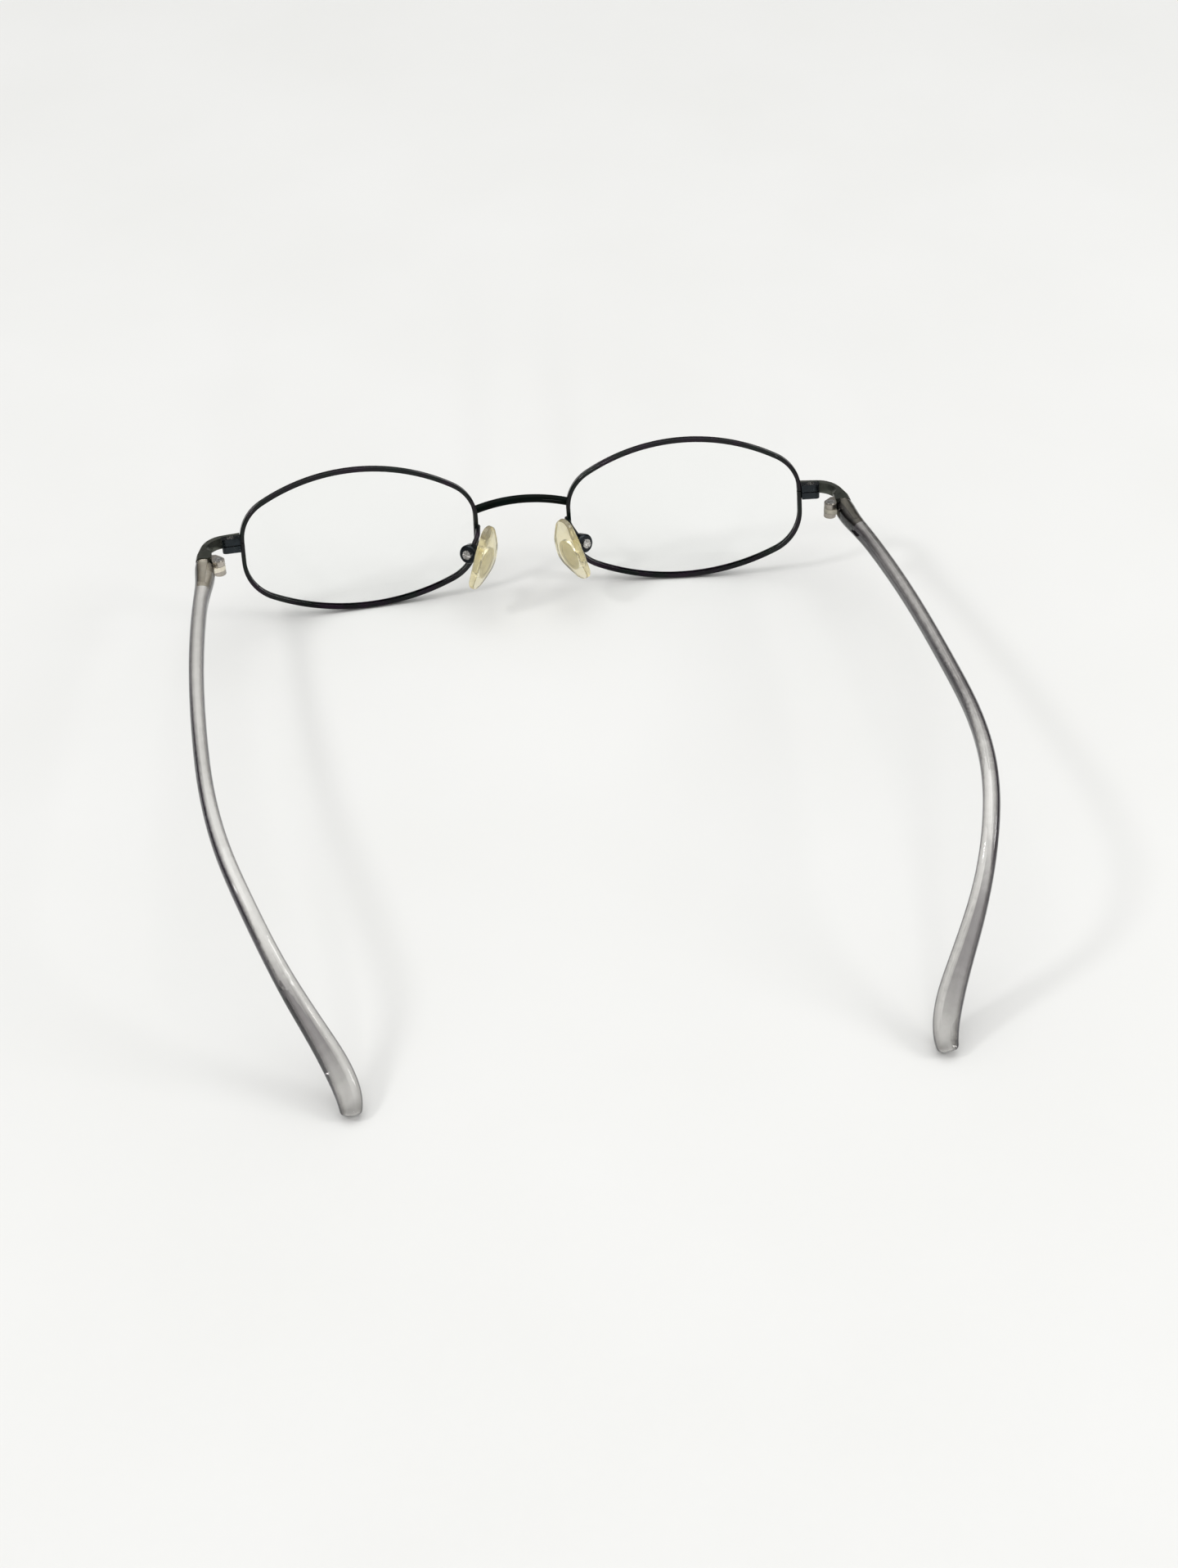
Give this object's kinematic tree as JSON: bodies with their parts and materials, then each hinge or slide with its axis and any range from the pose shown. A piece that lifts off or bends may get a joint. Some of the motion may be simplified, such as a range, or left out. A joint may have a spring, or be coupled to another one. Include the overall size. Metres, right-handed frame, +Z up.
{
  "type": "eyeglasses",
  "caption": "Oval full-rim metal eyeglasses with clear lenses, adjustable nose pads and grey translucent plastic temples that fold on screwed barrel hinges.",
  "frame": {"origin": "middle of the footprint, on the table that the rims and the temple tips rest on", "axes": "+X towards the wearer's left, +Y back along the temples to their tips, +Z up; the front leans forward at its top as the glasses lie open on a table"},
  "size_m": [0.1404, 0.1408, 0.0318],
  "materials": {
    "rim_metal": "glossy near-black lacquer with a green and purple tint",
    "bridge_metal": "glossy dark green-black lacquer",
    "lock_metal": "glossy blue-black lacquer",
    "hinge_metal": "satin olive-grey metallic lacquer",
    "screw_metal": "bright steel",
    "lens": "clear, polished, faint coating reflections",
    "pad_silicone": "translucent silicone, slightly yellowed",
    "insert_plastic": "olive-brown plastic seen through the pad",
    "temple_plastic": "polished translucent warm grey"
  },
  "bodies": {
    "front": {"bridge": "bridge_metal", "eyewire_left": "rim_metal", "lens_left": "lens", "end_piece_left": "hinge_metal", "rim_lock_upper_left": "lock_metal", "rim_lock_lower_left": "lock_metal", "rim_lock_screw_left": "screw_metal", "hinge_front_left": "hinge_metal", "hinge_screw_left": "screw_metal", "pad_arm_left": "rim_metal", "pad_box_left": "lock_metal", "pad_screw_left": "screw_metal", "eyewire_right": "rim_metal", "lens_right": "lens", "end_piece_right": "hinge_metal", "rim_lock_upper_right": "lock_metal", "rim_lock_lower_right": "lock_metal", "rim_lock_screw_right": "screw_metal", "hinge_front_right": "hinge_metal", "hinge_screw_right": "screw_metal", "pad_arm_right": "rim_metal", "pad_box_right": "lock_metal", "pad_screw_right": "screw_metal"},
    "left_temple": {"temple_left": "temple_plastic", "hinge_temple_left": "hinge_metal"},
    "right_temple": {"temple_right": "temple_plastic", "hinge_temple_right": "hinge_metal"},
    "left_pad": {"nose_pad_left": "pad_silicone", "pad_insert_left": "insert_plastic"},
    "right_pad": {"nose_pad_right": "pad_silicone", "pad_insert_right": "insert_plastic"}
  },
  "joints": [
    {"name": "temple_left_fold", "type": "hinge", "parent": "front", "child": "left_temple", "pos_m": [0.06447, -0.05467, 0.0199], "axis": [0, -0.1305, 0.9914], "range_deg": [-6, 84]},
    {"name": "temple_right_fold", "type": "hinge", "parent": "front", "child": "right_temple", "pos_m": [-0.05873, -0.05467, 0.0199], "axis": [0, 0.1305, -0.9914], "range_deg": [0, 82]},
    {"name": "pad_left_rock", "type": "hinge", "parent": "front", "child": "left_pad", "pos_m": [0.01437, -0.05956, 0.01319], "axis": [0.5481, 0.748, 0.3744], "range_deg": [-10, 10]},
    {"name": "pad_right_rock", "type": "hinge", "parent": "front", "child": "right_pad", "pos_m": [-0.00864, -0.05956, 0.01319], "axis": [-0.5481, 0.748, 0.3744], "range_deg": [-10, 10]}
  ]
}
